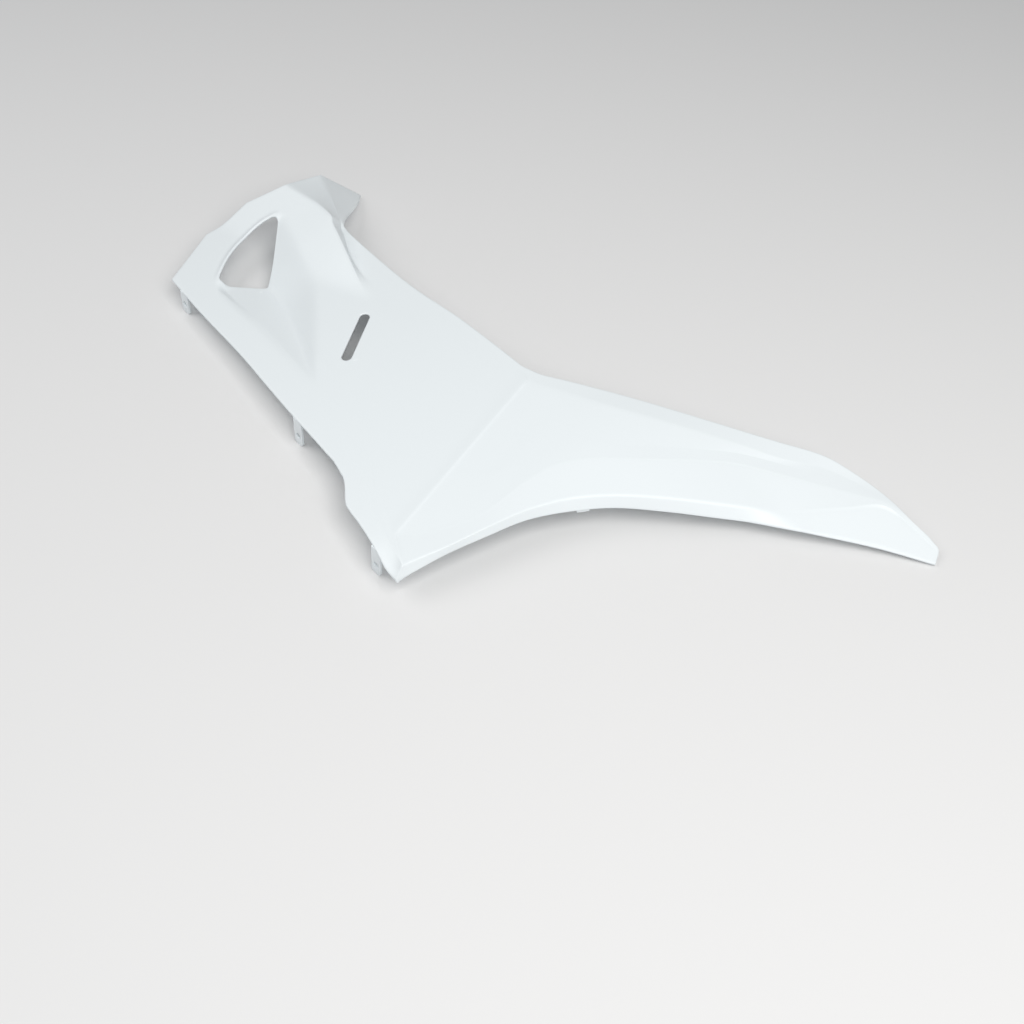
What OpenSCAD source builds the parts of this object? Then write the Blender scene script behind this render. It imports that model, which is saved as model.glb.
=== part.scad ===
// Floor side panel of a scooter: one moulded shell with three screw tabs.
// It lies outer face up. X runs from the front edge to the tail, Y across
// to the far edge, and Z up from the floor.

/* [Panel] */
// Overall length, front edge to tail tip
panel_l = 841; // [760:1:920]
// Overall width, low corner to the tip of the ear
panel_w = 488; // [440:1:530]
// Height of the outer skin above its lowest point
panel_h = 66; // [56:1:76]
// Wall thickness of the moulding
wall = 2.5; // [2:0.1:3.2]

/* [Shoulder ramp and scoop] */
// Rise of the shoulder ramp, mm for each mm
ramp_slope = 0.35; // [0.2:0.01:0.45]
// Fall of the scoop floor from its near crease
floor_slope = 0.38; // [0.2:0.01:0.4]
// Fall of the scoop wall from its far side
side_slope = 0.48; // [0.3:0.01:0.5]
// Extra fall of the floor in front of the opening
drop_slope = 0.1; // [0.05:0.01:0.2]
// Corner radius of the opening
opening_r = 6; // [4:0.5:8]
// Width of the rolled lip beside the opening
lip_w = 6; // [3:0.5:7]
// Height of the lip above the skin
lip_h = 2; // [0.8:0.1:2]

/* [Slot] */
// Length of the slot, end to end
slot_l = 67; // [40:1:80]
// Width of the slot
slot_w = 10.5; // [6:0.5:14]

/* [Screw tabs] */
// Width of a tab
tab_w = 12; // [11:0.5:16]
// Thickness of a tab
tab_t = 2.6; // [2:0.1:3.5]
// Lean of a tab, outward from the vertical
tab_lean = 4; // [0:1:15]
// Diameter of a tab's screw hole
hole_d = 6.5; // [4:0.1:7]
// Distance from a hole's centre to the tab's lower end
hole_up = 11.5; // [8:0.5:12]
// Radius of a tab's lower corners
tab_r = 3.5; // [2:0.5:5]

/* [Hidden side] */
// Depth of the stiffening ribs
rib_h = 9; // [5:0.5:12]
// Thickness of the ribs
rib_t = 1.8; // [1.4:0.1:2.4]
// Diameter of the boss under the tail
boss_d = 8; // [7:0.5:9]
// Diameter of the boss's pilot hole
pilot_d = 3.6; // [3:0.1:4.5]
// Width of the clip under the arch
clip_w = 12; // [8:1:16]
// Reach of the clip below the arch's edge
clip_reach = 4; // [2:0.5:6]

/* [Hidden] */

// Sizes at which the shape below is drawn
drawn_l = 841;
drawn_w = 488;
drawn_h = 66;
drawn_mid = [427.8, -10.2];
kx = panel_l / drawn_l;
ky = panel_w / drawn_w;
kz = panel_h / drawn_h;

// Curves along the panel, each a list of [station, x, y, z].
// Stations 0 to 32 are the front part, and 32 to 70 the wing.
near_front = [[0, 14.7, -18.2, 23.2], [4, 76.7, -50, 24.9], [8, 148, -83.9, 27.1],
    [12, 199.6, -111, 28.4], [16, 248.8, -136.6, 29.8], [18, 276.8, -150.4, 30.6],
    [20, 300.3, -162.3, 31.2], [21, 310.1, -167.2, 31.5], [22, 321.5, -175, 31.7],
    [24, 335.8, -188.6, 31.6], [25, 346.7, -205.2, 31], [26, 354.2, -211.2, 31],
    [28, 373.7, -222.8, 31.4], [29, 392.7, -235.3, 31], [30, 402.9, -242.4, 29.5],
    [31, 414.1, -250.1, 26], [32, 427.4, -254.4, 21]];
near_wing = [[32, 427.4, -254.4, 21], [33, 432.2, -247.4, 21.5], [34, 439.3, -237.5, 23.5],
    [36, 452, -217.6, 26], [40, 477.4, -181.4, 28], [44, 504.3, -144.5, 27.8],
    [47, 532.3, -118.5, 26], [50, 566.7, -94.8, 24.3], [53, 611.4, -74.1, 20.8],
    [56, 651, -58.1, 17.2], [58, 681.5, -45.9, 14.5], [60, 722, -35, 14.9],
    [62, 747.9, -27.1, 12.2], [66, 797.2, -13.1, 6.8], [70, 848.3, -2.3, 0.3]];
rim_front = [[0, 7.2, 57.6, 28.7], [7, 69, -11, 27.5], [11, 138, -38, 30.1],
    [16, 224, -82, 32.4], [20, 289, -124, 33.5], [24, 337, -165, 33.5],
    [26, 358, -186, 33.3], [28, 380, -207, 33.1], [30, 404, -227, 33.2],
    [32, 428.9, -245.6, 33.4]];
rim_wing = [[32, 428.9, -245.6, 33.4], [33, 432.8, -239.3, 33.3], [34, 438.4, -231.5, 33.8],
    [36, 451.8, -214.2, 35.2], [40, 476.4, -177.6, 37.6], [44, 502.8, -140.3, 38.2],
    [47, 529, -112.9, 37.3], [50, 563.4, -89.8, 36], [53, 607.5, -68.3, 33],
    [56, 646.6, -51.3, 28.8], [58, 675.1, -38.7, 25], [60, 705.2, -25.7, 20],
    [61, 716, -18.8, 19.7], [62, 728.8, -10.3, 19.4], [64, 759.5, 10, 18.7],
    [66, 787.2, 28.1, 18], [68, 817.4, 21.1, 11.1], [70, 847.6, 9.5, 3.2]];
mid_front = [[0, 28.3, 108.5, 34.2], [5, 84, 40, 32.6], [8, 125, 14, 33.3],
    [12, 180, -22, 34.2], [16, 232, -64, 34.4], [20, 280, -84, 36.1], [24, 325, -128, 35.7],
    [28, 366, -184, 34], [32, 406.1, -218.5, 34]];
mid_wing = [[32, 406.1, -218.5, 34], [33, 413.6, -215.6, 34.3], [34, 421.8, -210.5, 34.7],
    [36, 438.4, -198.5, 35.8], [40, 465.4, -165.6, 38.7], [44, 484.1, -120.3, 42.7],
    [47, 500.9, -89.6, 44.4], [50, 528.9, -66.3, 44.6], [53, 572.5, -42.6, 42.6],
    [56, 618.1, -17.1, 38.5], [58, 647.1, -2.2, 35], [60, 680.2, 7.4, 30.5],
    [62, 719.4, 16.4, 25.6], [64, 754.6, 25.2, 21.6], [66, 789.6, 31.7, 18.1],
    [68, 819, 22.9, 11.3], [70, 847.3, 11.5, 3.7]];
shoulder_front = [[0, 63.8, 137.7, 39], [2, 99, 128, 40], [4, 122, 121, 41],
    [5, 139, 113, 42], [6, 146, 105, 42], [7, 158, 95, 42], [8, 176, 80, 42.1],
    [12, 225, 38, 42.1], [20, 300, 0, 44.2], [26, 362, -60, 43.6],
    [32, 417.5, -132.3, 41.7]];
shoulder_wing = [[32, 417.5, -132.3, 41.7], [34, 431.4, -129.1, 42],
    [36, 445.2, -123.9, 42.4], [40, 465.5, -102.9, 44.3], [44, 483, -77.5, 46],
    [47, 501.9, -60.8, 46.8], [50, 528.2, -46.3, 46.6], [53, 568.8, -26.4, 44.2],
    [56, 615.1, -3.9, 40], [58, 644.6, 10.1, 36.3], [60, 677.9, 19.9, 31.6],
    [62, 719.6, 28.2, 26.4], [64, 755.1, 33.4, 21.9], [66, 790.6, 33.4, 18],
    [68, 819.2, 23.9, 11.5], [70, 846.6, 12.7, 4.1]];
foot_front = [[0, 76, 190, 48], [3, 111, 158, 47], [5, 140, 128, 46], [6, 147, 118, 44],
    [7, 157, 108, 44], [8, 173, 90, 43.5], [12, 231, 50, 43.4], [20, 318, 24, 47.3],
    [26, 376, 2, 49.5], [32, 433.7, -8.4, 52.7]];
foot_wing = [[32, 433.7, -8.4, 52.7], [34, 449.2, -8, 52.6], [38, 479.8, -5.2, 52],
    [42, 519.1, -1.8, 51], [46, 560.1, 4.6, 48.3], [50, 603.4, 12.5, 44],
    [56, 661.1, 23.2, 36], [60, 692.9, 29.1, 30.8], [62, 722.2, 39, 26.8],
    [64, 756.2, 40.1, 22], [66, 791.7, 35.1, 17.8], [68, 819.3, 25, 11.7],
    [70, 845.7, 13.9, 4.5]];
far_front = [[0, 99, 234, 0], [1, 110, 212, 9], [2, 120, 186, 19], [3, 129, 161, 30],
    [4, 137, 142, 39], [5, 144, 129, 44], [7, 155, 119, 44], [9, 182, 105, 45],
    [12, 238, 79.1, 46.2], [20, 337.2, 42.7, 50.1], [25, 390.7, 20.8, 52],
    [32, 421.5, 7.2, 53.1]];
far_wing = [[32, 421.5, 7.2, 53.1], [34, 441.6, 5.9, 52.6], [36, 463.6, 9.5, 52],
    [39, 499.2, 15.4, 50.8], [43, 545.7, 22.8, 48], [47, 592, 29.6, 44.5],
    [51, 636.6, 36.9, 40], [55, 680.9, 45, 34.5], [59, 710.8, 51.5, 30.5],
    [60, 725.3, 52.6, 28.8], [62, 741.5, 51.1, 26], [64, 764, 47.1, 21.8],
    [66, 794.1, 37.2, 17.3], [68, 820.8, 25, 11.4], [69, 835.6, 19.6, 7.6],
    [70, 843.9, 15.2, 5.1]];
front_set = [near_front, rim_front, mid_front, shoulder_front, foot_front, far_front];
wing_set = [near_wing, rim_wing, mid_wing, shoulder_wing, foot_wing, far_wing];
crest = 32;
tail = 70;

// Crease where the ramp leaves the main face, and the scoop's creases
ramp_a = [9, 79];
ramp_b = [166, 38];
floor_a = [69, -11];
floor_b = [224, -82];
side_a = [84, 102];
side_b = [168, 38];
side_c = [236, -78];
drop_a = [137, -38];
drop_b = [110, 19];
// The opening's corners, and the point that bows its front side
open_low = [64, -2];
open_bow = [36, 72];
open_top = [76, 103];
open_right = [108, 23];
// Middle of the slot, and its direction
slot_mid = [247, -19];
slot_turn = -78;
// Stations of the tabs, the ribs, the tail boss and the clip
tab_at = [1.6, 16.2, 29.4];
// Direction of the tabs, seen from above
tab_turn = -20;
rib_at = [20, 26, 38, 46, 54];
boss_at = [68, 0.9];
clip_at = 47.9;

// Distance of p to the left of the line from a to b
function left_of(p, a, b) =
    ((p.y - a.y) * (b.x - a.x) - (p.x - a.x) * (b.y - a.y)) / norm(b - a);
function soft_min(a, b, w) = (a + b - sqrt((a - b) * (a - b) + w * w)) / 2;
function soft_pos(v, w) = max(0, (v + sqrt(v * v + w * w)) / 2 - w / 4);

// Smooth curve through a list of [station, x, y, z]
function chord(c, k) = (slice(c[k + 1]) - slice(c[k])) / (c[k + 1][0] - c[k][0]);
function slice(p) = [p[1], p[2], p[3]];
function slope(c, k) =
    k == 0 ? chord(c, 0)
    : k == len(c) - 1 ? chord(c, k - 1)
    : let (before = c[k][0] - c[k - 1][0], after = c[k + 1][0] - c[k][0])
        (chord(c, k - 1) * after + chord(c, k) * before) / (before + after);
function span_of(c, u) = max([for (k = [0:len(c) - 2]) if (k == 0 || c[k][0] <= u) k]);
function along(c, u) =
    let (k = span_of(c, u), h = c[k + 1][0] - c[k][0], w = (u - c[k][0]) / h)
    (2 * w * w * w - 3 * w * w + 1) * slice(c[k])
    + (w * w * w - 2 * w * w + w) * h * slope(c, k)
    + (3 * w * w - 2 * w * w * w) * slice(c[k + 1])
    + (w * w * w - w * w) * h * slope(c, k + 1);

// Front side of the opening, a curve with s from 0 to 1
function open_front(s) =
    open_low * (1 - s) * (1 - s) + open_bow * 2 * s * (1 - s) + open_top * s * s;
function open_front_x(y) =
    let (
        a = open_low.y - 2 * open_bow.y + open_top.y,
        b = 2 * (open_bow.y - open_low.y),
        s = (sqrt(max(0, b * b + 4 * a * (min(y, open_top.y) - open_low.y))) - b) / (2 * a))
    open_front(max(0, s)).x;

// Heights that the ramp adds, and that the scoop takes away
function ramp(p) =
    ramp_slope * soft_pos(soft_min(left_of(p, ramp_a, ramp_b), p.y - ramp_b.y, 6), 8);
function scoop(p) =
    let (
        from_floor = left_of(p, floor_a, floor_b),
        from_side = soft_min(left_of(p, side_b, side_a), left_of(p, side_c, side_b), 10),
        from_front = p.x - open_front_x(p.y) - lip_w,
        sides = soft_min(floor_slope * from_floor, side_slope * from_side, 2),
        depth = soft_min(sides, 1.5 * from_front, 2),
        beyond = left_of(p, drop_a, drop_b))
    soft_pos(depth, 1.5) + drop_slope * soft_pos(beyond, 2) * max(0, min(1, depth / 2));

// Point of the outer skin at station u, and t curves from the near edge,
// before the shell is set down on the floor
function curves(u) = [for (c = u <= crest ? front_set : wing_set) along(c, u)];
function drawn_skin(u, t) =
    let (
        set = curves(u),
        k = min(4, floor(t)),
        w = t - k,
        p = set[k] * (1 - w) + set[k + 1] * w,
        lift = u >= crest ? 0
            : k < 3 ? ramp(p) - scoop(p)
            : k == 3 ? ramp(set[3]) * (1 - w) : 0)
    [(p.x - drawn_mid.x) * kx, (p.y - drawn_mid.y) * ky, (p.z + lift) * kz];

stations = concat([for (u = [0:0.5:16]) u], [for (u = [17:tail]) u]);
steps = [2, 5, 5, 3, 3];
rows = concat([for (k = [0:4]) for (j = [0:steps[k] - 1]) k + j / steps[k]], [5]);
sheet = [for (u = stations) [for (t = rows) drawn_skin(u, t)]];
ni = len(stations);
nj = len(rows);

// Inner skin: one wall below the outer one, square to it along the arch's
// flange and straight down elsewhere, where it falls by at most this many walls
steepest = 2;
flange_end = 60;
function square_share(u, t) =
    max(0, 1 - t) * max(0, min(1, (u - crest) / 2, (flange_end - u) / 2));
function inward(g, i, j) =
    let (
        across = g[i][min(nj - 1, j + 1)] - g[i][max(0, j - 1)],
        ahead = g[min(ni - 1, i + 1)][j] - g[max(0, i - 1)][j],
        n = cross(ahead, across) / norm(cross(ahead, across)),
        share = square_share(stations[i], rows[j]))
    wall * (n * share + [0, 0, min(steepest, 1 / n.z)] * (1 - share));
drawn_inner = [for (i = [0:ni - 1]) [for (j = [0:nj - 1]) sheet[i][j] - inward(sheet, i, j)]];
base = -min([for (r = drawn_inner) for (p = r) p.z]);
outer = [for (r = sheet) [for (p = r) p + [0, 0, base]]];
inner = [for (r = drawn_inner) [for (p = r) p + [0, 0, base]]];
function skin(u, t) = drawn_skin(u, t) + [0, 0, base];

function at(i, j) = i * nj + j;
function two(a, b, c, d) = [[a, b, c], [a, c, d]];
module shell() {
    n = ni * nj;
    points = concat([for (r = outer) each r], [for (r = inner) each r]);
    top = [for (i = [0:ni - 2]) for (j = [0:nj - 2])
        each two(at(i, j), at(i, j + 1), at(i + 1, j + 1), at(i + 1, j))];
    under = [for (i = [0:ni - 2]) for (j = [0:nj - 2])
        each two(n + at(i, j), n + at(i + 1, j), n + at(i + 1, j + 1), n + at(i, j + 1))];
    sides = [for (j = [0, nj - 1]) for (i = [0:ni - 2])
        let (a = at(i, j), b = at(i + 1, j))
        each (j == 0 ? two(a, b, n + b, n + a) : two(b, a, n + a, n + b))];
    ends = [for (i = [0, ni - 1]) for (j = [0:nj - 2])
        let (a = at(i, j), b = at(i, j + 1))
        each (i == 0 ? two(b, a, n + a, n + b) : two(a, b, n + b, n + a))];
    polyhedron(points, concat(top, under, sides, ends));
}

// Station and row at which the skin lies over the plan point p
function find(p, at, n) =
    n == 0 ? at
    : let (
        e = 0.05,
        here = skin(at[0], at[1]),
        du = (skin(at[0] + e, at[1]) - here) / e,
        dt = (skin(at[0], at[1] + e) - here) / e,
        off = p - [here.x, here.y],
        det = du.x * dt.y - du.y * dt.x,
        next = [at[0] + (off.x * dt.y - off.y * dt.x) / det,
            at[1] + (du.x * off.y - du.y * off.x) / det])
    find(p, [max(0, next[0]), max(0, min(4.9, next[1]))], n - 1);
function plan(p) = [(p.x - drawn_mid.x) * kx, (p.y - drawn_mid.y) * ky];

// Rolled lip along the front side of the opening
lip_steps = 18;
lip_sides = 8;
module lip() {
    path = [for (i = [0:lip_steps]) plan(open_front(0.02 + 0.96 * i / lip_steps))];
    points = [for (i = [0:lip_steps])
        let (
            ahead = path[min(lip_steps, i + 1)] - path[max(0, i - 1)],
            out = [-ahead.y, ahead.x] / norm(ahead),
            foot = path[i] + out * lip_w * 0.3,
            at = find(foot, [2, 1.9], 9),
            z = skin(at[0], at[1]).z - wall / 3,
            size = 0.35 + 0.65 * sin(180 * i / lip_steps))
        for (k = [0:lip_sides - 1])
            let (turn = 360 * k / lip_sides)
            [each (foot + out * cos(turn) * lip_w * size / 2),
                z + sin(turn) * (lip_h + wall / 3) * size]];
    faces = [for (i = [0:lip_steps - 1]) for (k = [0:lip_sides - 1])
        let (
            a = i * lip_sides + k,
            b = i * lip_sides + (k + 1) % lip_sides)
        each two(a, a + lip_sides, b + lip_sides, b)];
    last = lip_steps * lip_sides;
    caps = [for (k = [1:lip_sides - 2]) each [[0, k, k + 1], [last, last + k + 1, last + k]]];
    polyhedron(points, concat(faces, caps));
}

// Rib under the skin at station u, from row a to row b
rib_steps = 12;
module rib(u, a, b) {
    top = [for (i = [0:rib_steps]) skin(u, a + (b - a) * i / rib_steps)];
    points = [for (i = [0:rib_steps])
        let (
            ahead = top[min(rib_steps, i + 1)] - top[max(0, i - 1)],
            out = [-ahead.y, ahead.x, 0] / norm([ahead.x, ahead.y]) * rib_t / 2,
            deep = wall + rib_h * sqrt(sin(180 * min(i + 0.3, rib_steps - i + 0.3)
                / (rib_steps + 0.6))))
        each [top[i] + out - [0, 0, wall / 2], top[i] - out - [0, 0, wall / 2],
            top[i] - out - [0, 0, deep], top[i] + out - [0, 0, deep]]];
    faces = [for (i = [0:rib_steps - 1]) for (k = [0:3])
        let (p = i * 4 + k, q = i * 4 + (k + 1) % 4)
        each two(p, p + 4, q + 4, q)];
    last = rib_steps * 4;
    ends = [each two(0, 1, 2, 3), each two(last + 3, last + 2, last + 1, last)];
    polyhedron(points, concat(faces, ends));
}

// Frame at station u of the near edge: x along the edge, y outward
module on_near_edge(u) {
    e = skin(u, 0);
    d = skin(u + 0.4, 0) - skin(u - 0.4, 0);
    translate(e) rotate(atan2(d.y, d.x)) children();
}

// Screw tab: a leaning plate, rounded below, that reaches down to the floor
function tab_len(u) =
    (skin(u, 0).z - (1 + sin(tab_lean)) * tab_t / 2) / cos(tab_lean);
module tab_frame(u) {
    translate(skin(u, 0)) rotate(tab_turn) translate([0, tab_t / 2, -tab_t / 2])
        rotate([-90 - tab_lean, 0, 0]) children();
}
module tab_plate(u) {
    len = tab_len(u);
    tab_frame(u) translate([0, 0, -tab_t / 2]) linear_extrude(tab_t) {
        translate([-tab_w / 2, 0]) square([tab_w, len - tab_r]);
        translate([-tab_w / 2 + tab_r, 0]) square([tab_w - 2 * tab_r, len]);
        for (x = [-1, 1]) translate([x * (tab_w / 2 - tab_r), len - tab_r]) circle(tab_r, $fn = 32);
    }
}
module tab_hole(u) {
    tab_frame(u) translate([0, tab_len(u) - hole_up, -2 * tab_t])
        cylinder(d = hole_d, h = 4 * tab_t, $fn = 48);
}

// Opening of the scoop, cut straight down
module opening_cut() {
    side = [for (i = [0:12]) plan(open_front(i / 12))];
    translate([0, 0, -1]) linear_extrude(panel_h + 20)
        offset(opening_r, $fn = 32) offset(-opening_r)
            polygon(concat(side, [plan(open_right)]));
}

// Slot, a pair of round ends joined by a bar
module slot_cut() {
    run = slot_l - slot_w;
    translate([each plan(slot_mid), -1]) rotate(slot_turn) linear_extrude(panel_h + 20) {
        square([run, slot_w], center = true);
        for (x = [-1, 1]) translate([x * run / 2, 0]) circle(d = slot_w, $fn = 48);
    }
}

// Boss under the tail, with a pilot hole from below
boss_foot = 2;
module boss() {
    p = skin(boss_at[0], boss_at[1]);
    translate([p.x, p.y, boss_foot]) cylinder(d = boss_d, h = p.z - boss_foot - 0.75 * wall, $fn = 48);
}
module pilot() {
    p = skin(boss_at[0], boss_at[1]);
    translate([p.x, p.y, boss_foot - 1]) cylinder(d = pilot_d, h = p.z - boss_foot - 2 * wall, $fn = 48);
}

// Clip behind the arch's edge
module clip() {
    on_near_edge(clip_at) translate([-clip_w / 2, wall / 2, -clip_reach])
        cube([clip_w, 3 * wall / 2, clip_reach + 2 * wall]);
}

module side_panel() {
    color("white") difference() {
        union() {
            difference() {
                union() {
                    shell();
                    lip();
                }
                opening_cut();
                slot_cut();
            }
            for (u = rib_at) rib(u, u < crest ? 0.4 : 1.3, 3.7);
            for (u = tab_at) tab_plate(u);
            boss();
            clip();
        }
        for (u = tab_at) tab_hole(u);
        pilot();
    }
}

side_panel();
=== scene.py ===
"""Floor side panel of a scooter: its painted skin, rolled edges, screw tabs and hidden ribs."""

import math

import bmesh
import bpy
import numpy as np
from mathutils import Matrix, Vector
from mathutils.geometry import delaunay_2d_cdt


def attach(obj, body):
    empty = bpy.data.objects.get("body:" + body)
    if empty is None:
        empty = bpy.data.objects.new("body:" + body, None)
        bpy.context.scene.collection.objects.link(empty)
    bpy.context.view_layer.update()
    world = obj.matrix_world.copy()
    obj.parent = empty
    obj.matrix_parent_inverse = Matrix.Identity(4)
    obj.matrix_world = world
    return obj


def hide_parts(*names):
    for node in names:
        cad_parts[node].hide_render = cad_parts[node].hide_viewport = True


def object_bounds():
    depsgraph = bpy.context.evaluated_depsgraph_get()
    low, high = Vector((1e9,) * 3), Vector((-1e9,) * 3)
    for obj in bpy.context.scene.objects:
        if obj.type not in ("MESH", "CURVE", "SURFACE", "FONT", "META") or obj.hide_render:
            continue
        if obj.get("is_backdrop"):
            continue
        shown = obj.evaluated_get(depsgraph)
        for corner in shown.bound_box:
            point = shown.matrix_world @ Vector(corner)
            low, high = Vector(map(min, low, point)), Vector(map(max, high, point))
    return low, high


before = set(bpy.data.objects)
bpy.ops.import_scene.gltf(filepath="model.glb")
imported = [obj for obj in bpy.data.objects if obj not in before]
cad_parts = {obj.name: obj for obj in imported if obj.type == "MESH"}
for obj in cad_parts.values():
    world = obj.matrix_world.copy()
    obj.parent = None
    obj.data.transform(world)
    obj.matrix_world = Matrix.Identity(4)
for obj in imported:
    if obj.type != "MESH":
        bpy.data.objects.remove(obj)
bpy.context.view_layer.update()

MM = 0.001  # the shape is worked out in millimetres and built in metres

# ---- Shape, the same as the CAD model's ----
WALL = 2.5
RAMP_SLOPE = 0.35
FLOOR_SLOPE = 0.38
SIDE_SLOPE = 0.48
DROP_SLOPE = 0.10
OPENING_R = 6.0
LIP_W = 6.0
LIP_H = 2.0
SLOT_L = 67.0
SLOT_W = 10.5
TAB_W = 12.0
TAB_T = 2.6
TAB_LEAN = math.radians(4)
HOLE_R = 3.25
HOLE_UP = 11.5
TAB_R = 3.5
RIB_H = 9.0
RIB_T = 1.8
BOSS_R = 4.0
PILOT_R = 1.8
BOSS_FOOT = 2.0
BOSS_WALL = 1.0
CLIP_W = 12.0
CLIP_REACH = 4.0
CLIP_TOP = 0.9 * WALL
DRAWN_MID = np.array([427.8, -10.2])  # middle of the panel, in the frame of the curves

# Curves along the panel: (station, x, y, z). Stations 0 to 32 are the front part, 32 to 70 the
# wing. The wing's foot and far curves are the CAD model's at other stations, so that the ruled
# faces beside its break line lie evenly.
NEAR_FRONT = [
    (0, 14.7, -18.2, 23.2), (4, 76.7, -50, 24.9), (8, 148, -83.9, 27.1), (12, 199.6, -111, 28.4),
    (16, 248.8, -136.6, 29.8), (18, 276.8, -150.4, 30.6), (20, 300.3, -162.3, 31.2),
    (21, 310.1, -167.2, 31.5), (22, 321.5, -175, 31.7), (24, 335.8, -188.6, 31.6),
    (25, 346.7, -205.2, 31), (26, 354.2, -211.2, 31), (28, 373.7, -222.8, 31.4),
    (29, 392.7, -235.3, 31), (30, 402.9, -242.4, 29.5), (31, 414.1, -250.1, 26),
    (32, 427.4, -254.4, 21),
]
NEAR_WING = [
    (32, 427.4, -254.4, 21), (33, 432.2, -247.4, 21.5), (34, 439.3, -237.5, 23.5),
    (36, 452, -217.6, 26), (40, 477.4, -181.4, 28), (44, 504.3, -144.5, 27.8),
    (47, 532.3, -118.5, 26), (50, 566.7, -94.8, 24.3), (53, 611.4, -74.1, 20.8),
    (56, 651, -58.1, 17.2), (58, 681.5, -45.9, 14.5), (60, 722, -35, 14.9),
    (62, 747.9, -27.1, 12.2), (66, 797.2, -13.1, 6.8), (70, 848.3, -2.3, 0.3),
]
RIM_FRONT = [
    (0, 7.2, 57.6, 28.7), (7, 69, -11, 27.5), (11, 138, -38, 30.1), (16, 224, -82, 32.4),
    (20, 289, -124, 33.5), (24, 337, -165, 33.5), (26, 358, -186, 33.3), (28, 380, -207, 33.1),
    (30, 404, -227, 33.2), (32, 428.9, -245.6, 33.4),
]
RIM_WING = [
    (32, 428.9, -245.6, 33.4), (33, 432.8, -239.3, 33.3), (34, 438.4, -231.5, 33.8),
    (36, 451.8, -214.2, 35.2), (40, 476.4, -177.6, 37.6), (44, 502.8, -140.3, 38.2),
    (47, 529, -112.9, 37.3), (50, 563.4, -89.8, 36), (53, 607.5, -68.3, 33),
    (56, 646.6, -51.3, 28.8), (58, 675.1, -38.7, 25), (60, 705.2, -25.7, 20),
    (61, 716, -18.8, 19.7), (62, 728.8, -10.3, 19.4), (64, 759.5, 10, 18.7), (66, 787.2, 28.1, 18),
    (68, 817.4, 21.1, 11.1), (70, 847.6, 9.5, 3.2),
]
MID_FRONT = [
    (0, 28.3, 108.5, 34.2), (5, 84, 40, 32.6), (8, 125, 14, 33.3), (12, 180, -22, 34.2),
    (16, 232, -64, 34.4), (20, 280, -84, 36.1), (24, 325, -128, 35.7), (28, 366, -184, 34),
    (32, 406.1, -218.5, 34),
]
MID_WING = [
    (32, 406.1, -218.5, 34), (33, 413.6, -215.6, 34.3), (34, 421.8, -210.5, 34.7),
    (36, 438.4, -198.5, 35.8), (40, 465.4, -165.6, 38.7), (44, 484.1, -120.3, 42.7),
    (47, 500.9, -89.6, 44.4), (50, 528.9, -66.3, 44.6), (53, 572.5, -42.6, 42.6),
    (56, 618.1, -17.1, 38.5), (58, 647.1, -2.2, 35), (60, 680.2, 7.4, 30.5),
    (62, 719.4, 16.4, 25.6), (64, 754.6, 25.2, 21.6), (66, 789.6, 31.7, 18.1),
    (68, 819, 22.9, 11.3), (70, 847.3, 11.5, 3.7),
]
SHOULDER_FRONT = [
    (0, 63.8, 137.7, 39), (2, 99, 128, 40), (4, 122, 121, 41), (5, 139, 113, 42), (6, 146, 105, 42),
    (7, 158, 95, 42), (8, 176, 80, 42.1), (12, 225, 38, 42.1), (20, 300, 0, 44.2),
    (26, 362, -60, 43.6), (32, 417.5, -132.3, 41.7),
]
SHOULDER_WING = [
    (32, 417.5, -132.3, 41.7), (34, 431.4, -129.1, 42), (36, 445.2, -123.9, 42.4),
    (40, 465.5, -102.9, 44.3), (44, 483, -77.5, 46), (47, 501.9, -60.8, 46.8),
    (50, 528.2, -46.3, 46.6), (53, 568.8, -26.4, 44.2), (56, 615.1, -3.9, 40),
    (58, 644.6, 10.1, 36.3), (60, 677.9, 19.9, 31.6), (62, 719.6, 28.2, 26.4),
    (64, 755.1, 33.4, 21.9), (66, 790.6, 33.4, 18), (68, 819.2, 23.9, 11.5), (70, 846.6, 12.7, 4.1),
]
FOOT_FRONT = [
    (0, 76, 190, 48), (3, 111, 158, 47), (5, 140, 128, 46), (6, 147, 118, 44), (7, 157, 108, 44),
    (8, 173, 90, 43.5), (12, 231, 50, 43.4), (20, 318, 24, 47.3), (26, 376, 2, 49.5),
    (32, 433.7, -8.4, 52.7),
]
FOOT_WING = [
    (32, 433.7, -8.4, 52.7), (35, 453.4, -7.8, 52.5), (38, 469.6, -6.2, 52.2),
    (41, 485.9, -4.7, 51.9), (44, 502.1, -3.5, 51.6), (47, 522.1, -1.4, 50.9),
    (50, 549.4, 2.8, 49.1), (53, 588, 9.6, 45.7), (56, 627.5, 16.9, 40.9), (58, 654.3, 21.9, 37),
    (60, 686.4, 27.3, 31.8), (61, 704.8, 33.6, 29.2), (62, 722.2, 39, 26.8), (63, 739, 40.5, 24.4),
    (64, 756.2, 40.1, 22), (66, 791.7, 35.1, 17.8), (68, 819.3, 25, 11.7), (70, 845.7, 13.9, 4.5),
]
FAR_FRONT = [
    (0, 99, 234, 0), (1, 110, 212, 9), (2, 120, 186, 19), (3, 129, 161, 30), (4, 137, 142, 39),
    (5, 144, 129, 44), (7, 155, 119, 44), (9, 182, 105, 45), (12, 238, 79.1, 46.2),
    (20, 337.2, 42.7, 50.1), (25, 390.7, 20.8, 52), (32, 421.5, 7.2, 53.1),
]
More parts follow.
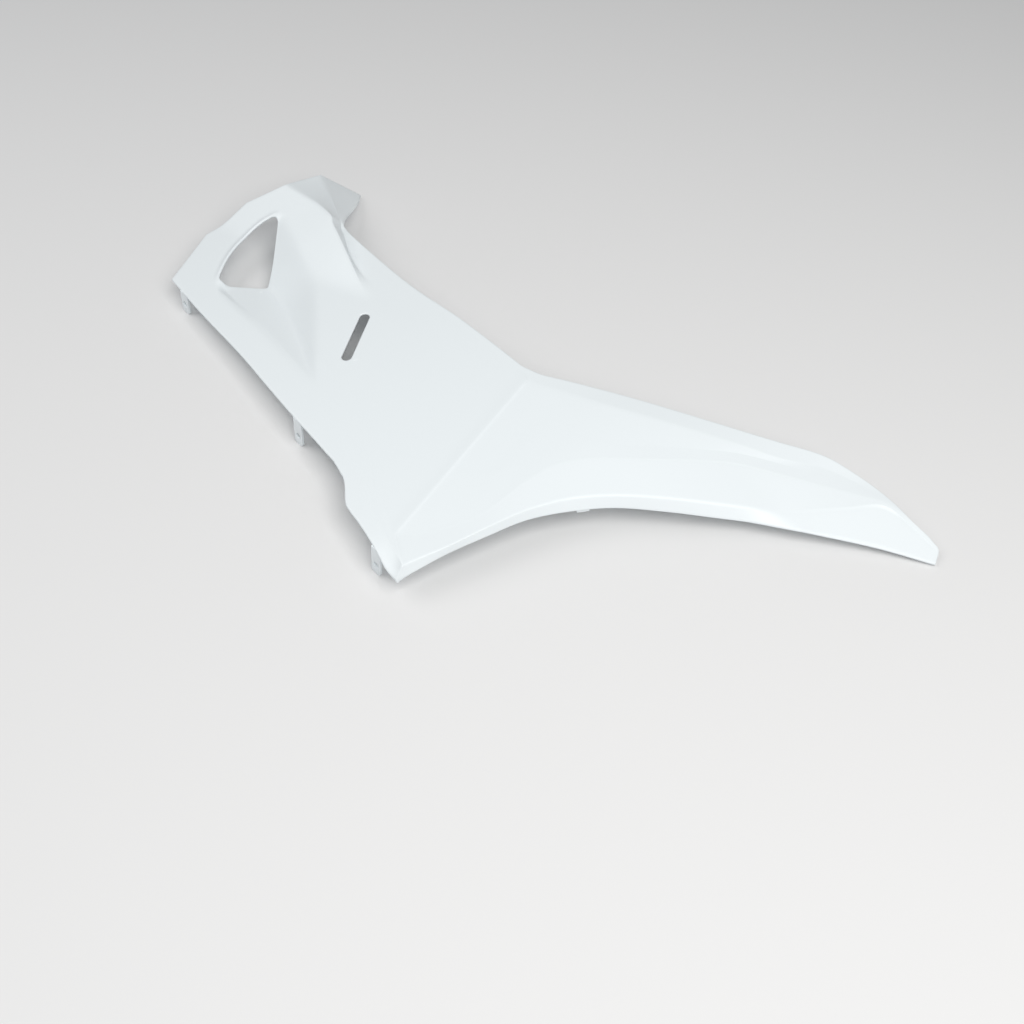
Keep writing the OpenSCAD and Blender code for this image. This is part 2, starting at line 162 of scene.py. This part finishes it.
FAR_WING = [
    (32, 421.5, 7.2, 53.1), (34, 441.6, 5.9, 52.6), (36, 454.7, 7.8, 52.3), (38, 467.6, 10.2, 51.9),
    (41, 484.5, 13, 51.4), (44, 501.3, 15.7, 50.7), (47, 522.1, 19.1, 49.6),
    (50, 550.7, 23.6, 47.7), (53, 590, 29.3, 44.7), (56, 628.9, 35.6, 40.8),
    (58, 656.1, 40.3, 37.7), (60, 687.8, 46.7, 33.6), (61, 706.9, 51.1, 31),
    (62, 725.3, 52.6, 28.8), (63, 743.6, 50.8, 25.6), (64, 764, 47.1, 21.8),
    (66, 794.1, 37.2, 17.3), (68, 820.8, 25, 11.4), (69, 835.6, 19.6, 7.6), (70, 843.9, 15.2, 5.1),
]
CREST = 32
TAIL = 70
FRONT_SET = [NEAR_FRONT, RIM_FRONT, MID_FRONT, SHOULDER_FRONT, FOOT_FRONT, FAR_FRONT]
WING_SET = [NEAR_WING, RIM_WING, MID_WING, SHOULDER_WING, FOOT_WING, FAR_WING]

RAMP_A, RAMP_B = (9, 79), (166, 38)
FLOOR_A, FLOOR_B = (69, -11), (224, -82)
SIDE_A, SIDE_B, SIDE_C = (84, 102), (168, 38), (236, -78)
DROP_A, DROP_B = (137, -38), (110, 19)
OPEN_LOW, OPEN_BOW = np.array([64.0, -2.0]), np.array([36.0, 72.0])
OPEN_TOP, OPEN_RIGHT = np.array([76.0, 103.0]), np.array([108.0, 23.0])
SLOT_MID = np.array([247.0, -19.0])
SLOT_TURN = math.radians(-78)
TAB_AT = (1.6, 16.2, 29.4)
TAB_TURN = math.radians(-20)
RIB_AT = (20, 26, 38, 46, 54)
BOSS_AT = (68, 0.9)
CLIP_AT = 47.9
STEEPEST = 2.0
FLANGE_END = 60.0

# ---- Fineness of the modelled skin ----
FRONT_CELLS = 210
WING_CELLS = 150
BAND_CELLS = (10, 30, 30, 14, 14)
CREASE_PASSES = 3
CREASE_REACH = 2.2
CREASE_SHARE = 0.6
EDGE_R = 1.25
EDGE_REACH = 8.0
EDGE_STEPS = 6
SLIVER = 0.02
SEARCH_CELLS = 4
ARC_POINTS = 9
NEARLY_STRAIGHT = 80
OPENING_STEP = 1.6
SLOT_STEP = 1.2
LIP_SAMPLES = 120
# The bright line on the crest: a slight bead, wide in front and narrow on the wing's side
CREST_STATIONS = [32.08, 32.17]
CREST_H = 0.5
CREST_W = (9.0, 1.7)
CREST_FADE = ((1.0, 1.3, 4.0, 4.5), (0, 1, 1, 0))


def along(curve, stations):
    """Smooth curve through the list's points, at the given stations."""
    c = np.asarray(curve, float)
    s, p = c[:, 0], c[:, 1:]
    h = s[1:] - s[:-1]
    chord = (p[1:] - p[:-1]) / h[:, None]
    slope = np.empty_like(p)
    slope[0], slope[-1] = chord[0], chord[-1]
    slope[1:-1] = (chord[:-1] * h[1:, None] + chord[1:] * h[:-1, None]) / (h[:-1] + h[1:])[:, None]
    k = np.clip(np.searchsorted(s, stations, side="right") - 1, 0, len(h) - 1)
    w, hk = ((stations - s[k]) / h[k])[:, None], h[k][:, None]
    return (
        (2 * w**3 - 3 * w**2 + 1) * p[k]
        + (w**3 - 2 * w**2 + w) * hk * slope[k]
        + (3 * w**2 - 2 * w**3) * p[k + 1]
        + (w**3 - w**2) * hk * slope[k + 1]
    )


def left_of(x, y, a, b):
    """Distance of plan points to the left of the line from a to b."""
    dx, dy = b[0] - a[0], b[1] - a[1]
    return ((y - a[1]) * dx - (x - a[0]) * dy) / math.hypot(dx, dy)


def soft_min(a, b, w):
    """The lesser of two heights, rounded over where they meet."""
    return (a + b - np.sqrt((a - b) ** 2 + w * w)) / 2


def soft_pos(v, w):
    """The value where it is above zero, rounded over at zero."""
    return np.maximum(0, (v + np.sqrt(v * v + w * w)) / 2 - w / 4)


def open_front(s):
    """The opening's bowed front side, from its low end (0) to its top (1)."""
    s = np.asarray(s, float)[..., None]
    return OPEN_LOW * (1 - s) ** 2 + OPEN_BOW * 2 * s * (1 - s) + OPEN_TOP * s**2


def open_front_x(y):
    """Where the opening's front side lies along the panel, at a place across it."""
    a = OPEN_LOW[1] - 2 * OPEN_BOW[1] + OPEN_TOP[1]
    b = 2 * (OPEN_BOW[1] - OPEN_LOW[1])
    past_low = np.minimum(y, OPEN_TOP[1]) - OPEN_LOW[1]
    s = (np.sqrt(np.maximum(0, b * b + 4 * a * past_low)) - b) / (2 * a)
    return open_front(np.maximum(0, s))[..., 0]


def ramp(x, y):
    """Rise of the front part above the plane of the main face."""
    return RAMP_SLOPE * soft_pos(soft_min(left_of(x, y, RAMP_A, RAMP_B), y - RAMP_B[1], 6), 8)


def scoop(x, y):
    """Depth of the scoop behind the opening."""
    from_side = soft_min(left_of(x, y, SIDE_B, SIDE_A), left_of(x, y, SIDE_C, SIDE_B), 10)
    sides = soft_min(FLOOR_SLOPE * left_of(x, y, FLOOR_A, FLOOR_B), SIDE_SLOPE * from_side, 2)
    depth = soft_min(sides, 1.5 * (x - open_front_x(y) - LIP_W), 2)
    beyond = left_of(x, y, DROP_A, DROP_B)
    return soft_pos(depth, 1.5) + DROP_SLOPE * soft_pos(beyond, 2) * np.clip(depth / 2, 0, 1)


def skin_grid(stations, rows):
    """Outer skin at every station and row, as drawn, in millimetres."""
    stations, rows = np.asarray(stations, float), np.asarray(rows, float)
    grid = np.empty((len(stations), len(rows), 3))
    band = np.minimum(4, np.floor(rows).astype(int))
    w = (rows - band)[:, None, None]
    for curves, chosen in ((FRONT_SET, stations <= CREST), (WING_SET, stations > CREST)):
        if not chosen.any():
            continue
        lines = np.array([along(c, stations[chosen]) for c in curves])
        part = lines[band] * (1 - w) + lines[band + 1] * w
        if curves is FRONT_SET:
            x, y = part[..., 0], part[..., 1]
            top = ramp(x, y) - scoop(x, y)
            flank = ramp(lines[3][:, 0], lines[3][:, 1])[None, :] * (1 - w[..., 0])
            low = np.where((band == 3)[:, None], flank, 0)
            lift = np.where((band < 3)[:, None], top, low)
            lift[:, stations[chosen] >= CREST] = 0
            part[..., 2] += lift
        grid[chosen] = part.transpose(1, 0, 2)
    return grid


def soften(grid, passes):
    """Rounds the creases: each inner height moves towards its neighbours' weighed mean."""
    g = grid.copy()
    du = np.linalg.norm(np.diff(g[..., :2], axis=0), axis=-1)
    dt = np.linalg.norm(np.diff(g[..., :2], axis=1), axis=-1)
    wu, wt = 1 / np.maximum(du, CREASE_REACH) ** 2, 1 / np.maximum(dt, CREASE_REACH) ** 2
    near, far, lower, upper = wu[:-1, 1:-1], wu[1:, 1:-1], wt[1:-1, :-1], wt[1:-1, 1:]
    total = near + far + lower + upper
    for _ in range(passes):
        z = g[..., 2]
        mean = (
            z[:-2, 1:-1] * near + z[2:, 1:-1] * far + z[1:-1, :-2] * lower + z[1:-1, 2:] * upper
        ) / total
        g[1:-1, 1:-1, 2] = z[1:-1, 1:-1] * (1 - CREASE_SHARE) + mean * CREASE_SHARE
    return g


front_stations = np.linspace(0, CREST, FRONT_CELLS + 1)
wing_stations = np.linspace(CREST, TAIL, WING_CELLS + 1)[1:]
stations = np.sort(np.concatenate([front_stations, wing_stations, CREST_STATIONS]))
rows = np.concatenate([k + np.arange(n) / n for k, n in enumerate(BAND_CELLS)] + [[5.0]])
skin = soften(skin_grid(stations, rows), CREASE_PASSES)
NI, NJ = skin.shape[:2]
crest = int(np.searchsorted(stations, CREST))
from_crest = np.linalg.norm(skin[..., :2] - skin[crest, :, :2], axis=-1)
crest_reach = np.where(stations < CREST, CREST_W[0], CREST_W[1])[:, None]
skin[..., 2] += CREST_H * np.exp(-((from_crest / crest_reach) ** 2)) * np.interp(rows, *CREST_FADE)


def inward(grid):
    """Step from outer to inner skin: square to it along the arch's flange, else straight down."""
    n = np.cross(np.gradient(grid, axis=0), np.gradient(grid, axis=1))
    n /= np.linalg.norm(n, axis=-1)[..., None]
    from_ends = np.minimum(stations - CREST, FLANGE_END - stations)
    ends = np.clip(from_ends / 2, 0, 1)
    share = ends[:, None] * np.maximum(0, 1 - rows)[None]
    down = np.minimum(STEEPEST, 1 / n[..., 2])
    step = n * share[..., None]
    step[..., 2] += down * (1 - share)
    return WALL * step


depth = inward(skin)[..., 2]
base = -(skin[..., 2] - depth).min()
skin[..., :2] -= DRAWN_MID
skin[..., 2] += base


def drawn_in(line):
    """The line with its first point moved along it by the edge's radius, the next ones less."""
    length = np.concatenate([[0], np.cumsum(np.linalg.norm(np.diff(line, axis=0), axis=1))])
    reach = min(EDGE_REACH, length[-1] / 3)
    at = length + EDGE_R * np.maximum(0, 1 - length / reach)
    return np.stack([np.interp(at, length, line[:, k]) for k in range(3)], axis=1)


# The skin ends one radius short of its outline, and the wall's edge is rounded out to it
full = skin.copy()
for i in range(NI):
    skin[i] = drawn_in(drawn_in(skin[i])[::-1])[::-1]
for j in range(NJ):
    skin[:, j] = drawn_in(drawn_in(skin[:, j])[::-1])[::-1]
to_inner = inward(skin)
depth = to_inner[..., 2]


def place(points):
    """Height of the skin and depth of the wall over plan points, in the row's frame."""
    points = np.asarray(points, float)
    low_z, low_d = np.empty(len(points)), np.empty(len(points))
    flat = skin[..., :2].reshape(-1, 2)
    cells = range(-SEARCH_CELLS, SEARCH_CELLS)
    corners = [(a, b) for a in cells for b in cells]
    for n, p in enumerate(points):
        i, j = divmod(int(np.argmin(((flat - p) ** 2).sum(axis=1))), NJ)
        best = -np.inf
        for a, b in corners:
            if not (0 <= i + a < NI - 1 and 0 <= j + b < NJ - 1):
                continue
            for rest in (((1, 0), (1, 1)), ((1, 1), (0, 1))):
                at = [(i + a, j + b)] + [(i + a + c, j + b + d) for c, d in rest]
                xy = np.array([skin[k][:2] for k in at])
                w = np.linalg.solve(np.vstack([xy.T, np.ones(3)]), [*p, 1.0])
                if w.min() > best:
                    best = w.min()
                    low_z[n] = w @ [skin[k][2] for k in at]
                    low_d[n] = w @ [depth[k] for k in at]
    return low_z, low_d


# ---- Outlines of the two openings, in plan ----
def rounded(corners, radius, step):
    """Closed outline with its corners rounded, walked at about one step."""
    corners = np.asarray(corners, float)
    out = []
    for k, c in enumerate(corners):
        a, b = corners[k - 1] - c, corners[(k + 1) % len(corners)] - c
        a, b = a / np.linalg.norm(a), b / np.linalg.norm(b)
        half = math.acos(np.clip(a @ b, -1, 1)) / 2
        if math.degrees(half) > NEARLY_STRAIGHT:
            out.append(c)
            continue
        inset = radius / math.tan(half)
        middle = c + (a + b) / np.linalg.norm(a + b) * radius / math.sin(half)
        start, end = c + a * inset - middle, c + b * inset - middle
        turn = math.atan2(start[0] * end[1] - start[1] * end[0], start @ end)
        for w in np.linspace(0, 1, ARC_POINTS):
            cos, sin = math.cos(turn * w), math.sin(turn * w)
            x, y = start[0] * cos - start[1] * sin, start[0] * sin + start[1] * cos
            out.append(middle + np.array([x, y]))
    out = np.array(out)
    closed = np.vstack([out, out[:1]])
    length = np.concatenate([[0], np.cumsum(np.linalg.norm(np.diff(closed, axis=0), axis=1))])
    at = np.linspace(0, length[-1], int(length[-1] / step) + 1)[:-1]
    return np.c_[np.interp(at, length, closed[:, 0]), np.interp(at, length, closed[:, 1])]


def grown(loop, by):
    """The loop moved outward, away from the hole's middle, by a distance."""
    ahead = np.roll(loop, -1, axis=0) - np.roll(loop, 1, axis=0)
    out = np.c_[ahead[:, 1], -ahead[:, 0]] / np.linalg.norm(ahead, axis=1)[:, None]
    area = np.sum(loop[:, 0] * np.roll(loop[:, 1], -1) - loop[:, 1] * np.roll(loop[:, 0], -1))
    return loop + out * by * np.sign(area)


opening_loop = rounded(
    np.vstack([open_front(np.linspace(0, 1, 13)), OPEN_RIGHT]) - DRAWN_MID, OPENING_R, OPENING_STEP
)
cos, sin = math.cos(SLOT_TURN), math.sin(SLOT_TURN)
turn = np.array([[cos, -sin], [sin, cos]])
slot_corners = np.array([[-1, -1], [1, -1], [1, 1], [-1, 1]]) * [SLOT_L / 2, SLOT_W / 2]
slot_loop = rounded(slot_corners @ turn.T + SLOT_MID - DRAWN_MID, SLOT_W / 2 - 0.01, SLOT_STEP)


def lip_height(points):
    """Rolled lip along the opening's front side, over plan points near it."""
    samples = open_front(np.linspace(-0.02, 1.02, LIP_SAMPLES)) - DRAWN_MID
    away = np.sqrt(((points[:, None] - samples[None]) ** 2).sum(axis=-1))
    nearest = away.argmin(axis=1)
    fade = np.sin(np.pi * np.clip(nearest / (LIP_SAMPLES - 1), 0, 1)) ** 0.5
    gap = away.min(axis=1)
    return LIP_H * fade * np.exp(-(((gap - 0.3 * LIP_W) / (0.42 * LIP_W)) ** 2))


def inside(points, loop):
    """Which plan points lie inside the loop."""
    x, y = points[:, 0], points[:, 1]
    hit = np.zeros(len(points), bool)
    for a, b in zip(loop, np.roll(loop, -1, axis=0)):
        if a[1] == b[1]:
            continue
        cross = (a[1] > y) != (b[1] > y)
        hit ^= cross & (x < (b[0] - a[0]) * (y - a[1]) / (b[1] - a[1]) + a[0])
    return hit


def gap_to(points, loop):
    """Distance from plan points to the loop."""
    best = np.full(len(points), 1e9)
    for a, b in zip(loop, np.roll(loop, -1, axis=0)):
        ab = b - a
        t = np.clip(((points - a) @ ab) / (ab @ ab), 0, 1)
        best = np.minimum(best, np.linalg.norm(points - a - t[:, None] * ab, axis=1))
    return best


# ---- The shell: a grid of four-sided faces, opened where a hole's own ring of faces goes ----
top = [tuple(p) for p in skin.reshape(-1, 3)]
fall = list(depth.reshape(-1))
plan = skin[..., :2].reshape(-1, 2)
cell_kept = np.ones((NI - 1, NJ - 1), bool)
faces = []
hole_rings = []
for loop, offsets, margin, lipped in (
    (opening_loop, (EDGE_R, 2.0, 3.0, 4.2, 5.6), 7.5, True),
    (slot_loop, (EDGE_R, 1.9, 2.8), 4.0, False),
):
    near = (inside(plan, loop) | (gap_to(plan, loop) < margin)).reshape(NI, NJ)
    gone = near[:-1, :-1] | near[1:, :-1] | near[:-1, 1:] | near[1:, 1:]
    cell_kept &= ~gone
    counts = {}
    for i, j in zip(*np.where(gone)):
        ring = [i * NJ + j, (i + 1) * NJ + j, (i + 1) * NJ + j + 1, i * NJ + j + 1]
        for a, b in zip(ring, ring[1:] + ring[:1]):
            key = (min(a, b), max(a, b))
            counts[key] = counts.get(key, 0) + 1
    edges = [e for e, n in counts.items() if n == 1]
    used = sorted({v for e in edges for v in e})
    spare = sorted({v for e in counts for v in e} - set(used))
    clear = gap_to(plan[spare], loop) > offsets[-1] + 0.9
    outside = ~inside(plan[spare], loop)
    used += [v for v, ok in zip(spare, clear & outside) if ok]
    number = {v: n for n, v in enumerate(used)}
    coords = [Vector(plan[v]) for v in used]
    cdt_edges = [(number[a], number[b]) for a, b in edges]
    source = list(used)
    first = None
    for by in offsets:
        ring = grown(loop, by)
        z, d = place(ring)
        if lipped:
            z = z + lip_height(ring)
        ids = list(range(len(top), len(top) + len(ring)))
        top += [(x, y, h) for (x, y), h in zip(ring, z)]
        fall += list(d)
        start = len(coords)
        coords += [Vector(p) for p in ring]
        source += ids
        if first is None:
            first = ids
            cdt_edges += [(start + k, start + (k + 1) % len(ring)) for k in range(len(ring))]
    verts, _, tris, origin, _, _ = delaunay_2d_cdt(coords, cdt_edges, [], 0, 1e-6)
    hole = grown(loop, EDGE_R)
    border = [(plan[a], plan[b]) for a, b in edges]
    middle = np.array([np.mean([verts[v][:] for v in t], axis=0) for t in tris])
    on_border = {(min(a, b), max(a, b)) for a, b in edges}
    hit = np.zeros(len(middle), bool)
    for a, b in border:
        if a[1] != b[1]:
            cross = (a[1] > middle[:, 1]) != (b[1] > middle[:, 1])
            at = (b[0] - a[0]) * (middle[:, 1] - a[1]) / (b[1] - a[1]) + a[0]
            hit ^= cross & (middle[:, 0] < at)
    keep = hit & ~inside(middle, hole)
    for t, ok in zip(tris, keep):
        ids = [source[origin[v][0]] for v in t]
        sides = [(min(a, b), max(a, b)) for a, b in zip(ids, ids[1:] + ids[:1])]
        (ax, ay), (bx, by), (cx, cy) = (verts[v] for v in t)
        area = abs((bx - ax) * (cy - ay) - (cx - ax) * (by - ay)) / 2
        sliver = area < SLIVER and sum(side in on_border for side in sides) > 1
        if ok and not sliver:
            faces.append(ids)
    hole_rings.append((first, np.array(loop)))

for i, j in zip(*np.where(cell_kept)):
    faces.append([i * NJ + j, (i + 1) * NJ + j, (i + 1) * NJ + j + 1, i * NJ + j + 1])

top = np.array(top)
fall = np.array(fall)

border = (
    [i * NJ for i in range(NI)]
    + [(NI - 1) * NJ + j for j in range(1, NJ)]
    + [i * NJ + NJ - 1 for i in range(NI - 2, -1, -1)]
    + [j for j in range(NJ - 2, 0, -1)]
)
outline = full.reshape(-1, 3)[border]

count = len(top)
aside = np.zeros((count, 2))
aside[: NI * NJ] = to_inner[..., :2].reshape(-1, 2)
under = top - np.c_[aside, fall]
points = [top, under]
all_faces = [list(f) for f in faces] + [[v + count for v in reversed(f)] for f in faces]
total = 2 * count
for ring, edge in [(border, outline)] + hole_rings:
    high, low = top[ring], under[ring]
    centre, half = (high + low) / 2, (high - low) / 2
    out = edge - high if edge.shape[1] == 3 else np.c_[edge - high[:, :2], np.zeros(len(ring))]
    previous = list(ring)
    for step in range(1, EDGE_STEPS):
        angle = math.pi * step / EDGE_STEPS
        points.append(centre + half * math.cos(angle) + out * math.sin(angle))
        current = list(range(total, total + len(ring)))
        total += len(ring)
        for k in range(len(ring)):
            m = (k + 1) % len(ring)
            all_faces.append([previous[k], current[k], current[m], previous[m]])
        previous = current
    last = [v + count for v in ring]
    for k in range(len(ring)):
        m = (k + 1) % len(ring)
        all_faces.append([previous[k], last[k], last[m], previous[m]])
points = np.vstack(points)


def new_mesh(name, verts, polys):
    """Object from points in millimetres, without loose points and with its faces turned outward."""
    mesh = bpy.data.meshes.new(name)
    faces_of = [tuple(int(i) for i in f) for f in polys]
    mesh.from_pydata([tuple(v) for v in np.asarray(verts) * MM], [], faces_of)
    used = bpy.data.objects.new(name, mesh)
    bpy.context.scene.collection.objects.link(used)
    bm = bmesh.new()
    bm.from_mesh(mesh)
    loose = [v for v in bm.verts if not v.link_faces]
    bmesh.ops.delete(bm, geom=loose, context="VERTS")
    bmesh.ops.recalc_face_normals(bm, faces=bm.faces)
    for f in bm.faces:
        f.smooth = True
    bm.to_mesh(mesh)
    bm.free()
    return used


shell = new_mesh("panel_shell", points, all_faces)
PIECES = [shell]


# ---- Pieces moulded under the skin and along its near edge ----
def skin_at(u, t):
    """Point of the outer skin at a station and row, in the panel's frame."""
    p = skin_grid([u], [t])[0, 0]
    return np.array([p[0] - DRAWN_MID[0], p[1] - DRAWN_MID[1], p[2] + base])


def edge_frame(u):
    """Matrix at the near edge: x along it, y outward, z up."""
    here, ahead = skin_at(u, 0), skin_at(u + 0.4, 0) - skin_at(u - 0.4, 0)
    turned = Matrix.Rotation(math.atan2(ahead[1], ahead[0]), 4, "Z")
    return Matrix.Translation(Vector(here)) @ turned


def flat_plate(outline, holes, thick):
    """Plate in the x-y plane with holes, centred on z, as points and faces."""
    loops = [np.asarray(outline)] + [np.asarray(h) for h in holes]
    coords, edges = [], []
    for loop in loops:
        start = len(coords)
        coords += [Vector(p) for p in loop]
        edges += [(start + k, start + (k + 1) % len(loop)) for k in range(len(loop))]
    verts, _, tris, origin, _, _ = delaunay_2d_cdt(coords, edges, [], 0, 1e-6)
    middle = np.array([np.mean([verts[v][:] for v in t], axis=0) for t in tris])
    keep = inside(middle, loops[0])
    for loop in loops[1:]:
        keep &= ~inside(middle, loop)
    n = len(coords)
    flat = [[origin[v][0] for v in t] for t, ok in zip(tris, keep) if ok]
    polys = flat + [[v + n for v in reversed(t)] for t in flat]
    polys += [[a, b, b + n, a + n] for a, b in edges]
    pts = [(p.x, p.y, thick / 2) for p in coords] + [(p.x, p.y, -thick / 2) for p in coords]
    return np.array(pts), polys


def arc(x, y, r, start, end, steps):
    """Points of an arc about x, y between two angles in degrees."""
    return [
        (x + r * math.cos(math.radians(a)), y + r * math.sin(math.radians(a)))
        for a in np.linspace(start, end, steps)
    ]


def moved(points, matrix):
    return np.array([(matrix @ Vector(p))[:] for p in points])


def rounded_edges(obj, width, segments=3):
    """Rounds the sharp edges of a moulded piece."""
    mod = obj.modifiers.new("edges", "BEVEL")
    mod.width = width * MM
    mod.segments = segments
    mod.limit_method = "ANGLE"
    mod.angle_limit = math.radians(50)
    mod.use_clamp_overlap = True
    mod.harden_normals = False


for n, u in enumerate(TAB_AT):
    edge_z = skin_at(u, 0)[2]
    length = (edge_z - (1 + math.sin(TAB_LEAN)) * TAB_T / 2) / math.cos(TAB_LEAN)
    half = TAB_W / 2
    outline = (
        [(-half, 0), (half, 0)]
        + arc(half - TAB_R, length - TAB_R, TAB_R, 0, 90, 9)
        + arc(-half + TAB_R, length - TAB_R, TAB_R, 90, 180, 9)
    )
    hole = arc(0, length - HOLE_UP, HOLE_R, 0, 360, 41)[:-1]
    pts, polys = flat_plate(outline, [hole], TAB_T)
    matrix = (
        Matrix.Translation(skin_at(u, 0))
        @ Matrix.Rotation(TAB_TURN, 4, "Z")
        @ Matrix.Translation((0, TAB_T / 2, -TAB_T / 2))
        @ Matrix.Rotation(-math.pi / 2 - TAB_LEAN, 4, "X")
    )
    tab = new_mesh(f"tab_{n + 1}", moved(pts, matrix), polys)
    rounded_edges(tab, 0.35)
    PIECES.append(tab)

RIB_STEPS = 24
for n, u in enumerate(RIB_AT):
    a, b = (0.4 if u < CREST else 1.3), 3.7
    line = np.array([skin_at(u, a + (b - a) * k / RIB_STEPS) for k in range(RIB_STEPS + 1)])
    ahead = np.gradient(line[:, :2], axis=0)
    out = np.c_[-ahead[:, 1], ahead[:, 0], np.zeros(len(line))]
    out *= RIB_T / 2 / np.linalg.norm(out, axis=1)[:, None]
    k = np.arange(RIB_STEPS + 1)
    from_end = np.minimum(k, RIB_STEPS - k) + 0.5
    reach = WALL + RIB_H * np.sqrt(np.sin(np.pi * from_end / (RIB_STEPS + 1)))
    high, low = np.array([0, 0, WALL / 2]), np.c_[np.zeros((len(k), 2)), reach]
    left, right = line + out, line - out
    pts = np.stack([left - high, right - high, right - low, left - low], axis=1)
    polys = [
        [i * 4 + c, i * 4 + 4 + c, i * 4 + 4 + (c + 1) % 4, i * 4 + (c + 1) % 4]
        for i in range(RIB_STEPS)
        for c in range(4)
    ]
    last = RIB_STEPS * 4
    polys += [[0, 1, 2, 3], [last + 3, last + 2, last + 1, last]]
    rib = new_mesh(f"rib_{n + 1}", pts.reshape(-1, 3), polys)
    rounded_edges(rib, 0.3, 2)
    PIECES.append(rib)

boss_top = skin_at(*BOSS_AT)
profile = [
    (PILOT_R, boss_top[2] - BOSS_WALL - 2 * WALL),
    (PILOT_R, BOSS_FOOT),
    (BOSS_R, BOSS_FOOT),
    (BOSS_R, boss_top[2] - 0.75 * WALL),
]
ring = 48
pts = [
    (boss_top[0] + r * math.cos(a), boss_top[1] + r * math.sin(a), z)
    for r, z in profile
    for a in (2 * math.pi * k / ring for k in range(ring))
]
polys = [
    [c * ring + k, c * ring + (k + 1) % ring, (c + 1) * ring + (k + 1) % ring, (c + 1) * ring + k]
    for c in range(3)
    for k in range(ring)
] + [list(range(ring)), [3 * ring + k for k in reversed(range(ring))]]
boss = new_mesh("tail_boss", pts, polys)
rounded_edges(boss, 0.3, 2)
PIECES.append(boss)

box = [
    (x, y, z)
    for z in (-CLIP_REACH, CLIP_TOP)
    for y in (0.5 * WALL, 2 * WALL)
    for x in (-CLIP_W / 2, CLIP_W / 2)
]
polys = [[0, 1, 3, 2], [4, 6, 7, 5], [0, 4, 5, 1], [2, 3, 7, 6], [0, 2, 6, 4], [1, 5, 7, 3]]
clip = new_mesh("arch_clip", moved(box, edge_frame(CLIP_AT)), polys)
rounded_edges(clip, 0.5)
PIECES.append(clip)

# ---- Paint ----
PAINT = (0.840, 0.890, 0.915, 1.0)
paint = bpy.data.materials.new("pearl_white_paint")
paint.use_nodes = True
shader = paint.node_tree.nodes["Principled BSDF"]
shader.inputs["Base Color"].default_value = PAINT
shader.inputs["Roughness"].default_value = 0.42
shader.inputs["Specular IOR Level"].default_value = 0.3
shader.inputs["Coat Weight"].default_value = 0.15
shader.inputs["Coat Roughness"].default_value = 0.28
for piece in PIECES:
    piece.data.materials.append(paint)
    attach(piece, "root")
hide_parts("side_panel")

# ---- Floor, light and camera ----
FLOOR_SIZE = 8.0
FLOOR_Z = -0.0005
FLOOR_COLOUR = (0.80, 0.80, 0.803, 1.0)
WORLD_COLOUR = (0.96, 0.98, 1.0, 1.0)
WORLD_STRENGTH = 0.24
KEY_SIZE, KEY_WATTS = 1.8, 45
FILL_SIZE, FILL_WATTS = 1.5, 13
bpy.ops.mesh.primitive_plane_add(size=FLOOR_SIZE, location=(0, 0, FLOOR_Z))
floor = bpy.context.object
floor.name = "floor"
floor_paint = bpy.data.materials.new("floor")
floor_paint.use_nodes = True
floor_shader = floor_paint.node_tree.nodes["Principled BSDF"]
floor_shader.inputs["Base Color"].default_value = FLOOR_COLOUR
floor_shader.inputs["Roughness"].default_value = 0.8
floor_shader.inputs["Specular IOR Level"].default_value = 0.2
floor.data.materials.append(floor_paint)
floor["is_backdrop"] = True

world = bpy.data.worlds.new("studio")
bpy.context.scene.world = world
world.use_nodes = True
background = world.node_tree.nodes["Background"]
background.inputs["Color"].default_value = WORLD_COLOUR
background.inputs["Strength"].default_value = WORLD_STRENGTH


def lamp(name, where, aim, size, watts, colour):
    """Square soft lamp at a place, turned towards another."""
    data = bpy.data.lights.new(name, "AREA")
    data.shape = "SQUARE"
    data.size = size
    data.energy = watts
    data.color = colour
    obj = bpy.data.objects.new(name, data)
    bpy.context.scene.collection.objects.link(obj)
    obj.location = where
    obj.rotation_euler = (Vector(aim) - Vector(where)).to_track_quat("-Z", "Y").to_euler()


lamp("key", (1.05, -0.85, 1.95), (0.05, -0.05, 0.0), KEY_SIZE, KEY_WATTS, (1.0, 0.99, 0.97))
lamp("fill", (-1.4, -0.5, 1.8), (-0.1, 0.0, 0.0), FILL_SIZE, FILL_WATTS, (1.0, 1.0, 1.0))

# The photograph was taken from this place, in the drawn frame, with this view
EYE = Vector((750.13, -735.28, 830.0))
VIEW = Vector((-0.257048, 0.573167, -0.778078))
RIGHT = Vector((0.898708, 0.437799, 0.025603))
FOCAL_PX = 1136.95
PHOTO_PX = 1024
SENSOR_MM = 36.0
camera_data = bpy.data.cameras.new("camera")
camera = bpy.data.objects.new("camera", camera_data)
bpy.context.scene.collection.objects.link(camera)
camera_data.sensor_width = SENSOR_MM
camera_data.lens = SENSOR_MM * FOCAL_PX / PHOTO_PX
back = -VIEW.normalized()
up = back.cross(RIGHT).normalized()
right = up.cross(back)
camera.matrix_world = Matrix.Translation(
    (EYE + Vector((-DRAWN_MID[0], -DRAWN_MID[1], base))) * MM
) @ Matrix((right, up, back)).transposed().to_4x4()
bpy.context.scene.camera = camera
bpy.context.scene.view_settings.view_transform = "Standard"

bpy.context.view_layer.update()
low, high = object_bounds()
